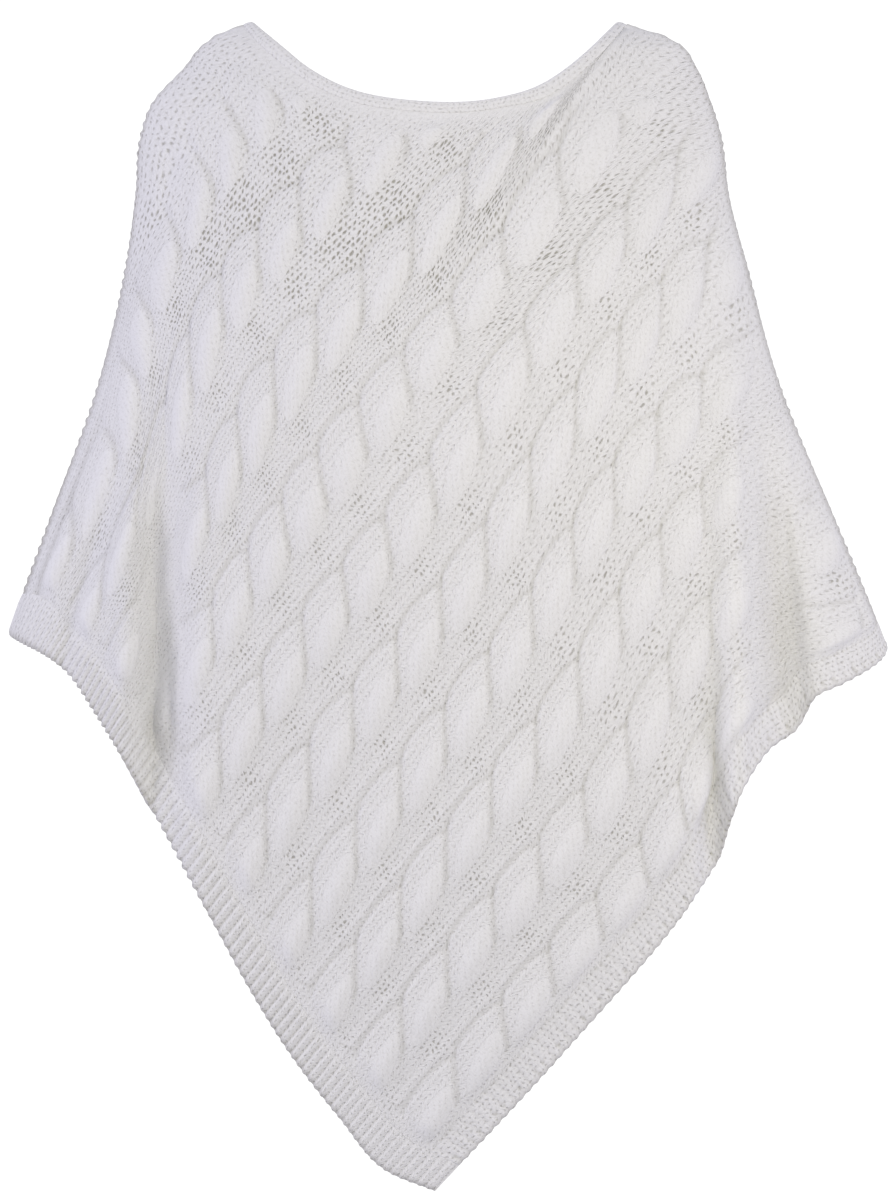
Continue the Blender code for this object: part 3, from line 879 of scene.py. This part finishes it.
@dataclass(frozen=True)
class Cables:
    """The cables of a panel: one to each column, each a row of leaves whose outer edge is scalloped."""

    count: int = 10  # how many columns have a cable
    first_crossing: float = 0.8  # the crossing where the first leaves have their middles
    column_step: tuple[float, float] = (-36.2, 52.0)  # x and z from one column to the next
    crossing_step: tuple[float, float] = (34.7, 45.4)  # x and z from one crossing to the next
    # How cables stray from their columns, as shares of 1, x, z, x2, xz and z2 across the cloth.
    column_drift: tuple[float, ...] = (-0.111, 0.049, 0.014, 0.112, 0.044, 0.008)
    # How crossings stray, as the same shares.
    crossing_drift: tuple[float, ...] = (0.002, 0.137, 0.049, 0.188, -0.016, -0.066)
    # Where a leaf is highest, in columns and crossings from its lattice point.
    leaf_place: tuple[float, float] = (-0.169, -0.043)
    leaf_length: float = 32.0  # how far along its crest a leaf runs each way before it is a third as high
    leaf_gentle_side: float = 10.5  # the same to the left of its crest
    leaf_steep_side: float = 7.5  # the same to the right
    leaf_lean: float = math.radians(20)  # how far its axis leans right of upright
    leaf_height: float = 4.4  # how high it stands on its cable
    height: float = 1.3  # how high the cable stands on the ground
    edge: float = 0.203  # how many columns right of its middle its outer edge runs at the least
    scallop: float = 0.115  # how far a scallop adds to that
    scallop_start: float = 0.272  # how many crossings before a whole one a scallop starts
    ridge: float = 0.8  # how high the wale beside it stands
    trench: float = 0.7  # how deep the lines beside it and between its strands are
    trench_width: float = 2.6  # how wide they are
    crease_pitch: float = 35.4  # how far apart the creases between strands are
    margin: float = 0.45  # how many crossings stay plain at the wales' ends

    def stray(self, shares: tuple[float, ...], x: Array, z: Array) -> Array:
        """How far the cables stray at each place, in columns or crossings."""
        x, z = np.clip(x / 300, -0.9, 0.9), (z + 450) / 300
        terms = np.stack([np.ones_like(x), x, z, x * x, x * z, z * z])
        return np.tensordot(shares, terms, axes=1)

    def cell(self, column: Array, crossings: Array, x: Array, z: Array) -> tuple[Array, Array]:
        """The places in their cable's cell: columns from its middle, and crossings from the first one."""
        column = column + self.stray(self.column_drift, x, z)
        crossings = crossings + self.stray(self.crossing_drift, x, z)
        return column - np.clip(np.round(column), 1, self.count), crossings - self.first_crossing

    def leaf(self, u: Array, v: Array, wide: Array) -> Array:
        """The rounded leaf of the strand in front, from nothing beside it to 1 at its middle.

        Args:
            u: columns from the cable's middle.
            v: crossings from the first one.
            wide: how many times its usual width the cloth is drawn to, which the leaf itself is not.

        Returns:
            The leaf's share of its full height.
        """
        best = np.zeros_like(u)
        lean_x, lean_z = math.sin(self.leaf_lean), math.cos(self.leaf_lean)
        for shift in (-1, 0, 1):
            du = u - self.leaf_place[0]
            dv = v - self.leaf_place[1] - np.round(v - u) - shift
            x = self.column_step[0] * du + self.crossing_step[0] * dv
            z = self.column_step[1] * du + self.crossing_step[1] * dv
            lengthways = (x * lean_x + z * lean_z) / self.leaf_length
            sideways = (x * lean_z - z * lean_x) * wide
            sideways = sideways / np.where(sideways > 0, self.leaf_steep_side, self.leaf_gentle_side)
            best = np.maximum(best, np.exp(-(lengthways**2) - sideways**2))
        return best

    def beside(self, u: Array, v: Array) -> Array:
        """The distance in from the scalloped line along the cable's outer edge, in mm."""
        edge = self.edge + self.scallop * np.abs(np.sin(np.pi * (v + self.scallop_start))) ** 0.65
        return (edge - u) * COLUMN_PITCH

    def crease(self, u: Array, v: Array) -> Array:
        """The distance from the crease that bends down beside a leaf, in mm, and more where it fades."""
        bend = 0.2 * np.clip((-0.2 - u) / 0.17, 0, 1.3) ** 1.5
        across = np.abs(0.5 - np.abs(wrapped(v - u - 0.03 + bend))) * self.crease_pitch
        return across + 7 * (1 - rise(u, -0.5, 0.3)) + FAR_OFF * (self.beside(u, v) < -0.5)

    def relief(self, u: Array, v: Array, leaf: Array) -> Array:
        """How far the cable stands out, in mm, with its leaves as given.

        Args:
            u: columns from the cable's middle.
            v: crossings from the first one.
            leaf: the leaves' shares of their height.

        Returns:
            The height at each place.
        """
        beside, crease = self.beside(u, v), self.crease(u, v)
        raised = self.height * smooth(beside / 5) * rise(u, -0.5, 0.45)
        raised += self.leaf_height * leaf * rise(beside, -1, 5)
        raised += self.ridge * bell(u - 0.375, 0.04)
        lines = bell(beside + 0.5, self.trench_width) + 1.4 * bell(crease, self.trench_width)
        return raised - self.trench * lines


@dataclass
class Panel(Piece):
    """A cable-knit panel, with two cells to a yarn leg across."""

    part = "panel"
    slot = "cable_knit"
    yarn = CABLE_KNIT
    cells = (280, 280)
    edge_reach = (2.0, 2.0)
    edge_drops = (0.2, 0.9, 0.1, 0.2)

    tip_cell: int = 184  # the cell across at which the neck tip stands
    cables: Cables = Cables()  # its cables
    rows_per_crossing: float = 14.0  # knitted rows to one crossing
    left_from: float = 7.5  # the column from which the cloth is wider towards the left side
    left_legs: float = 6.0  # how many more yarn legs a column has there
    top_rows: float = 5.0  # how many fewer rows a crossing has near the wales' upper ends
    wale_ridge: float = 0.10  # how high the ground's wales stand
    strand_legs: float = 9.0  # yarn legs across a strand, for one crossing
    strand_rows: float = 9.7  # knitted rows along it, for one column and one crossing
    # How loose the stitches are everywhere, and what clusters of holes, the chest, the upper left and the
    # right shoulder add to that.
    looseness: tuple[float, ...] = (0.12, 0.72, 0.5, 0.34, 0.35)
    neck_run: float = 14.0  # how far below the neck seam the stitches are tight and plain
    neck_plainness: float = 0.7  # how plain they are
    # How much shade is painted along the right and the left side edge, where the cloth turns away, in times a
    # groove, and how wide it is.
    edge_shade: tuple[float, float] = (2.8, 3.4)
    edge_width: tuple[float, float] = (3.4, 2.8)
    # How much shade is painted on the floors of the left fold, near the hem and higher up, and of the right
    # wing's folds; below 0 it is painted light.
    fold_shade: tuple[float, float, float] = (1.1, -0.7, 1.2)
    seam_inset: float = 11.5  # how far in from the side edge the side seam's groove runs
    seam_depth: float = 1.6  # how deep it is
    bead_height: float = 0.8  # how high the beads of stitches along the side edges stand
    bead_pitch: float = 7.6  # how far apart they are

    def column_of(self, share: Array) -> Array:
        """The column at a share of the panel's width, with the neck tip exactly at its own cell."""
        tip = self.tip_cell / self.cells[0]
        return np.interp(share, [0, tip, 1], [GARTER_SEAM + JOIN / COLUMN_PITCH, NECK_TIP, SIDE_SEAM])

    def shown(self, column: Array, crossings: Array, x: Array, z: Array) -> Array:
        """Where the cables show: they stop short of the wales' ends, the side seam and the garter hem.

        The cloth is drawn flat down in the folds on either side, so the cables are lower there.

        Args:
            column: the places across, in columns.
            crossings: the places along, in crossings.
            x: the places across.
            z: their heights.

        Returns:
            Shares of the cables' full height.
        """
        margin = self.cables.margin
        from_end = smooth((wale_crossings(column) - crossings) / margin - 0.3)
        from_side = smooth((SIDE_SEAM - column) / margin - 0.3)
        from_garter = smooth((column - GARTER_SEAM) / 0.12 - 0.1)
        shown = from_end * from_side * from_garter * (1 - self.by_shoulder(x, z))
        for centre, width, start, part in DRAWN_FLAT:
            shown = shown * (1 - part * bell(x - centre, width) * smooth((start - z) / DRAWN_RUN))
        return shown

    def by_shoulder(self, x: Array, z: Array) -> Array:
        """How near places are to the right shoulder, where the cloth is plain and loose."""
        return rise(x, SHOULDER_X, SHOULDER_RUN[0]) * rise(z, SHOULDER_Z, SHOULDER_RUN[1])

    def openness(self, u: Array, v: Array, x: Array, z: Array, shown: Array) -> Array:
        """How loose the stitches are: most between the cables by each crossing, and across the chest.

        Args:
            u: columns from the cable's middle.
            v: crossings from the first one.
            x: the places across.
            z: their heights.
            shown: the cables' shares of their full height.

        Returns:
            The looseness, below 0 by the neck, where the stitches are plain.
        """
        cluster = bell(np.abs(u) - 0.46, 0.16) * bell(wrapped(v + 0.32), 0.24)
        chest = bell(z - CHEST_Z, CHEST_REACH[1]) * bell(x - CHEST_X, CHEST_REACH[0])
        upper_left = rise(z, UPPER_LEFT_Z, UPPER_LEFT_RUN) * smooth((UPPER_LEFT_X - x) / UPPER_LEFT_RUN)
        even, by_cluster, by_chest, by_left, by_shoulder = self.looseness
        loose = even + by_cluster * cluster * shown + by_chest * chest + by_left * upper_left
        loose += by_shoulder * self.by_shoulder(x, z)
        on_strand = smooth(self.cables.beside(u, v) / 5)
        loose = np.clip(loose, 0, 1.05) * (1 - 0.5 * on_strand * rise(u, -0.4, 0.3))
        by_neck = 1 - smooth(self.cut.below_neck(x, z) / self.neck_run)
        return loose * (1 - by_neck) - self.neck_plainness * by_neck

    def by_side(self, x: Array, z: Array) -> tuple[Array, Array]:
        """The painted shade along either side edge, where the cloth turns away, and how near places are to the
        seam's groove beside the left one.

        Args:
            x: the places across.
            z: their heights.

        Returns:
            The painted shade for the edges, and shares for the groove.
        """
        from_left = x - self.form.section("left", z)
        from_right = self.form.section("right", z) - x
        low = smooth((LOW_EDGE[0] - z) / LOW_EDGE[1])
        right_shade, left_shade = self.edge_shade
        right_width, left_width = self.edge_width
        near = right_shade * bell(from_right, right_width) + (left_shade + low) * bell(from_left, left_width)
        return near, bell(from_left - self.seam_inset, left_width) * low

    def painted_fold_shade_and_light(self, x: Array, z: Array) -> Array:
        """Painted shade on the folds' floors: deep in the right wing's, and in the left one's only near the
        hem, with painted light higher up.
        """
        left_low, left_high, right = self.fold_shade
        left = (left_low - left_high) * smooth((LOW_FOLD[0] - z) / LOW_FOLD[1]) + left_high
        shade = np.where(x < 0, left, right * rise(x, *RIGHT_WING))
        return smooth(self.form.fold_depth(x, z, self.side) / DEEP_FOLD) * shade

    def places(self, across: Array, up: Array, outside: Array) -> Cloth:
        """The panel's cloth at shares of its width and length."""
        column = self.column_of(across)
        share = above_rib(column, up)
        x, z = self.cut.lay(column, share)
        crossings = share * wale_crossings(column)
        shown = self.shown(column, crossings, x, z) * smooth(up / 0.03)
        u, v = self.cables.cell(column, crossings, x, z)
        wales = across * self.cells[0] / 2
        wide = 1 + 0.5 * smooth((column - self.left_from) / 2) * rise(share, 0.55, 0.25)
        leaf = self.cables.leaf(u, v, wide)
        relief = self.cables.relief(u, v, leaf) * shown + self.wale_ridge * np.cos(2 * np.pi * wales)
        drop = np.minimum(self.edge_drop(across, up, column < NECK_TIP), 1.3)
        # near_side is the painted shade along the side edges; kept to 1, it also places the beads.
        near_side, by_seam = self.by_side(x, z)
        from_top = np.clip(share - 0.55, 0, None) * wale_crossings(column) * (1 - bell(column - 7.2, 1.0))
        beads = np.cos(2 * np.pi * z / self.bead_pitch) * (0.6 + 0.4 * np.sin(z / 17.0))
        relief += self.bead_height * beads * np.clip(near_side, 0, 1) - drop - self.seam_depth * by_seam
        points = self.faces(x, z, outside, relief, drop * 0.3)
        hidden = FAR_OFF * (1 - shown)
        # Painted shade between the leaves, in the side seam's groove, along the side edges and on the folds'
        # floors, with painted light higher up in the left fold.
        painted_hollow_shade_and_light = 0.2 * (1 - leaf) + 1.7 * by_seam + near_side + self.painted_fold_shade_and_light(x, z)
        legs = wales + self.left_legs * np.clip(column - self.left_from, 0, None)
        rows = crossings * self.rows_per_crossing - self.top_rows * from_top
        return Cloth(
            points,
            (legs, rows, self.openness(u, v, x, z, shown)),
            ((v - u) * self.strand_legs, (u + v) * self.strand_rows, smooth(leaf / 0.8) * shown),
            (self.cables.beside(u, v) + hidden, self.cables.crease(u, v) + hidden, painted_hollow_shade_and_light),
        )


@dataclass
class RibHem(Piece):
    """The ribbed hem along the left lower edge."""

    part = "rib_hem"
    slot = "rib_knit"
    yarn = RIB_KNIT
    cells = (672, 16)
    edge_reach = (4.0, 1.6)
    edge_drops = (0.9, 0.9, 1.4, 0.1)

    ribs_per_column: float = 8.0  # ribs to one cable column
    rib_height: float = 2.0  # how high a rib stands
    scallop: float = 1.1  # how far a rib's end stands out past the gaps

    def places(self, across: Array, up: Array, outside: Array) -> Cloth:
        """The hem's cloth at shares of its length and depth."""
        column = GARTER_EDGE + (SIDE_SEAM - GARTER_EDGE) * across
        seam = as_share(RIB_BAND, column)
        place = self.cut.lay(column, seam * up)
        away = (place - self.cut.lay(column, seam)) / RIB_BAND
        turns = column * self.ribs_per_column
        ridge = (0.5 + 0.5 * np.cos(2 * np.pi * turns)) ** 0.8
        push = self.scallop * (ridge - 0.6) * (1 - up) ** 4
        inner = (across > 0.002) & (across < 0.998)
        x, z = place + away * push * inner
        drop = self.edge_drop(across, up)
        by_corner = 0.6 * (1 - rise(column, 1, 2.5)) + 0.65 * rise(column, 8.5, 1.0)
        fade = (1 - rise(up, 0.75, 0.25)) * (1 - by_corner)
        relief = self.rib_height * ridge * (0.1 + 0.9 * fade) - np.minimum(drop, 1.4)
        points = self.faces(x, z, outside, relief, np.minimum(drop, 1.0) * 0.6)
        legs = turns * 2
        rows = up * RIB_BAND / ROW_PITCH
        # Painted shade between the ribs, less where they fade, and along the hem's free edge.
        painted_groove_shade = (1 - ridge) ** 2 * (0.25 + 0.75 * fade) + 2.4 * bell(up, 0.1)
        return even_cloth(points, legs, rows, 0.15 + 0.1 * up, painted_groove_shade)


@dataclass
class GarterHem(Piece):
    """The garter-stitch hem along the right lower edge."""

    part = "garter_hem"
    slot = "garter_knit"
    yarn = GARTER_KNIT
    cells = (16, 496)
    edge_reach = (2.0, 2.0)
    edge_drops = (1.0, 0.2, 0.1, 0.7)

    ridges: int = 62  # how many garter ridges the hem has
    ridge_height: float = 0.4  # how high a ridge stands
    bead: float = 0.8  # how high the bead along its free edge stands
    eyelet: float = 0.9  # how deep the eyelets inside that bead are
    scallop: float = 0.9  # how far a ridge's end stands out past the gaps

    def places(self, across: Array, up: Array, outside: Array) -> Cloth:
        """The hem's cloth at shares of its depth and length."""
        column = GARTER_EDGE + (GARTER_SEAM - GARTER_EDGE) * across
        share = above_rib(column, up)
        place = self.cut.lay(column, share)
        away = place - self.cut.lay(np.full_like(column, GARTER_SEAM), share)
        reach = np.hypot(*away)
        away = np.where(reach > 0.5, away / np.maximum(reach, 0.5), 0)
        turns = up * self.ridges
        ridge = 0.5 + 0.5 * np.cos(2 * np.pi * turns)
        push = self.scallop * (ridge - 0.5) * (1 - across) ** 3
        inner = (up > 0.004) & (up < 0.996)
        x, z = place + away * push * inner
        drop = np.minimum(self.edge_drop(across, up), 1.3)
        bead = self.bead * bell(across - 0.1, 0.1)
        uneven = 0.55 + 0.45 * np.sin(turns * 2.4)
        eyelet = bell(across - 0.25, 0.06) * np.clip(1.0 - 2.2 * ridge, 0, 1) * uneven
        uneven = 0.6 + 0.4 * np.sin(turns * 1.3)
        ladder = bell(across - 0.96, 0.04) * np.cos(np.pi * turns * 1.7) ** 2 * uneven
        relief = self.ridge_height * ridge * bell(across - 0.5, 0.5) + bead - drop - self.eyelet * eyelet
        points = self.faces(x, z, outside, relief - 0.5 * ladder, drop * 0.5)
        legs = across * 6.4
        # Painted shade between the ridges, in the eyelets and the ladder, and along the free edge.
        painted_groove_shade = np.clip(0.15 * (1 - ridge) ** 2 + eyelet + 0.6 * ladder + 0.7 * bell(across, 0.1), 0, 1)
        return even_cloth(points, legs, turns * 2, np.full_like(legs, 0.3), painted_groove_shade)


@dataclass
class NeckBand(Piece):
    """One half of the narrow band round the neckline, smooth and rounded like a bound edge."""

    part = "neck_band"
    slot = "neck_knit"
    yarn = BAND_KNIT
    cells = (240, 8)
    edge_reach = (2.0, 1.6)
    edge_drops = (0.6, 0.6, -0.4, 1.2)

    roundness: float = 1.3  # how high the middle of the band stands

    def places(self, across: Array, up: Array, outside: Array) -> Cloth:
        """The band's cloth at shares of its length and height."""
        column = NECK_TIP + (SIDE_SEAM - NECK_TIP) * across
        seam, edge = along(NECK_SEAM, "column", column), along(NECK_EDGE, "column", column)
        width = np.linalg.norm(edge - seam, axis=0)
        x, z = seam + (edge - seam) * (JOIN / width + (1 - JOIN / width) * up)
        at_tip = (across <= 0) | (across >= 1)
        on_side = np.where(x > 0, self.form.section("right", z), self.form.section("left", z))
        x = np.where(at_tip, on_side, x)
        drop = self.edge_drop(across, up)
        wave = 0.12 * np.cos(2 * np.pi * across * 60)
        relief = (self.roundness + wave) * np.sin(np.pi * np.clip(up, 0, 1)) ** 0.7 - np.minimum(drop, 1.2)
        points = self.faces(x, z, outside, relief, np.minimum(drop, 1.0) * 0.6)
        return even_cloth(points, up * 3, across * 77, np.full_like(up, 0.1), np.zeros_like(up))


WHITE = (1.0, 1.0, 1.0, 1.0)


@dataclass(frozen=True)
class SoftLight:
    """A round soft light."""

    name: str  # its name
    place: Point  # where it stands, in metres
    size: float  # its diameter, in metres
    power: float  # its power, in watts
    colour: str  # its colour, as sRGB hex
    aim: Point = (0.0, 0.0, -0.40)  # where it points, the garment's middle, in metres

    def build(self) -> None:
        """Makes the light."""
        data = bpy.data.lights.new(self.name, "AREA")
        data.shape = "DISK"
        data.size = self.size
        data.energy = self.power
        data.color = linear(self.colour)[:3]
        light = add_object(self.name, data)
        light.location = self.place
        light.rotation_euler = (Vector(self.aim) - Vector(self.place)).to_track_quat("-Z", "Y").to_euler()


@dataclass(frozen=True)
class Studio:
    """A white studio: a pale floor at a standing wearer's feet, light all round, and three soft lights."""

    scale: float = 0.77  # millimetres to one pixel of the view, in the plane of the side seams
    view_size: tuple[int, int] = (892, 1200)  # the view's width and height in pixels
    # Where the garment's origin is in the view, in pixels from its left and top.
    origin_pixel: tuple[float, float] = (435.0, 35.0)
    distance: float = 6.0  # how far the camera is from that plane, in metres, like the floor's sizes
    sensor: float = 36.0
    floor_level: float = -1.42
    floor_radius: float = 60.0
    floor_colour: str = "#D4D4D8"
    surround_colour: str = "#F5F4FE"
    surround_strength: float = 0.735
    seen_strength: float = 1.1  # how bright the floor and the surround look themselves
    lights: tuple[SoftLight, ...] = (
        SoftLight("key", (0.42, -1.05, -0.22), 0.6, 3.3, "#FFF8DA"),
        SoftLight("fill", (-2.9, -0.95, 0.2), 1.2, 26.0, "#EEEAFF"),
        SoftLight("side", (2.6, -0.9, 0.0), 1.6, 10.5, "#EEE8FF"),
    )

    def camera(self) -> None:
        """Makes the camera, level and straight in front."""
        data = bpy.data.cameras.new("camera")
        data.sensor_width = self.sensor
        data.lens = self.sensor * self.distance / (self.view_size[1] * self.scale * MM)
        data.clip_end = 200.0
        camera = add_object("camera", data)
        x = (self.view_size[0] / 2 - self.origin_pixel[0]) * self.scale * MM
        z = (self.origin_pixel[1] - self.view_size[1] / 2) * self.scale * MM
        camera.location = (x, -self.distance, z)
        camera.rotation_euler = (math.pi / 2, 0.0, 0.0)
        bpy.context.scene.camera = camera

    def show_white(self, owner: ID, lit: tuple[str, dict], seen: str, output: str) -> None:
        """Gives a material or world a node that lights the cloth, and plain white where it is seen itself.

        Args:
            owner: the material or world.
            lit: the kind and inputs of the node that lights.
            seen: the kind of the node that is seen.
            output: the kind of the output node.
        """
        tree = cleared_tree(owner)
        lighting = add_node(tree, *lit)
        white = add_node(tree, seen, {"Color": WHITE, "Strength": self.seen_strength})
        path = add_node(tree, "LightPath")
        shares = {0: path.outputs["Is Camera Ray"], 1: lighting.outputs[0], 2: white.outputs[0]}
        mixed = add_node(tree, "MixShader", shares)
        add_node(tree, output, {"Surface": mixed.outputs[0]})

    def floor(self) -> Object:
        """Makes the pale floor.

        Returns:
            The floor.
        """
        bm = bmesh.new()
        bmesh.ops.create_circle(bm, cap_ends=True, radius=self.floor_radius, segments=96)
        bmesh.ops.translate(bm, verts=bm.verts[:], vec=(0, 0, self.floor_level))
        mesh = bpy.data.meshes.new("floor")
        bm.to_mesh(mesh)
        bm.free()
        made = bpy.data.materials.new("white_studio_floor")
        lit = ("BsdfDiffuse", {"Color": linear(self.floor_colour)})
        self.show_white(made, lit, "Emission", "OutputMaterial")
        mesh.materials.append(made)
        return add_object("floor", mesh)

    def surround(self) -> None:
        """Makes the soft light all round, seen as plain white."""
        world = bpy.data.worlds.new("white_surround")
        shine = {"Color": linear(self.surround_colour), "Strength": self.surround_strength}
        self.show_white(world, ("Background", shine), "Background", "OutputWorld")
        bpy.context.scene.world = world

    def build(self) -> None:
        """Makes the whole studio, with colours shown as they are."""
        bpy.context.scene.view_settings.view_transform = "Standard"
        self.camera()
        self.floor()
        self.surround()
        for light in self.lights:
            light.build()


def main() -> None:
    """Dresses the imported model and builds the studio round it."""
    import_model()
    form = WornForm()
    cut = Cut(form)
    Studio().build()
    for side in Side:
        panel = Panel(side, form, cut).make()
        rib = RibHem(side, form, cut).make()
        garter = GarterHem(side, form, cut).make()
        band = NeckBand(side, form, cut).make()
        for piece in (panel, rib, garter, band):
            log.info("%s: %d faces", piece.name, len(piece.data.polygons))


if __name__ == "__main__":
    logging.basicConfig(level=logging.INFO)
    main()
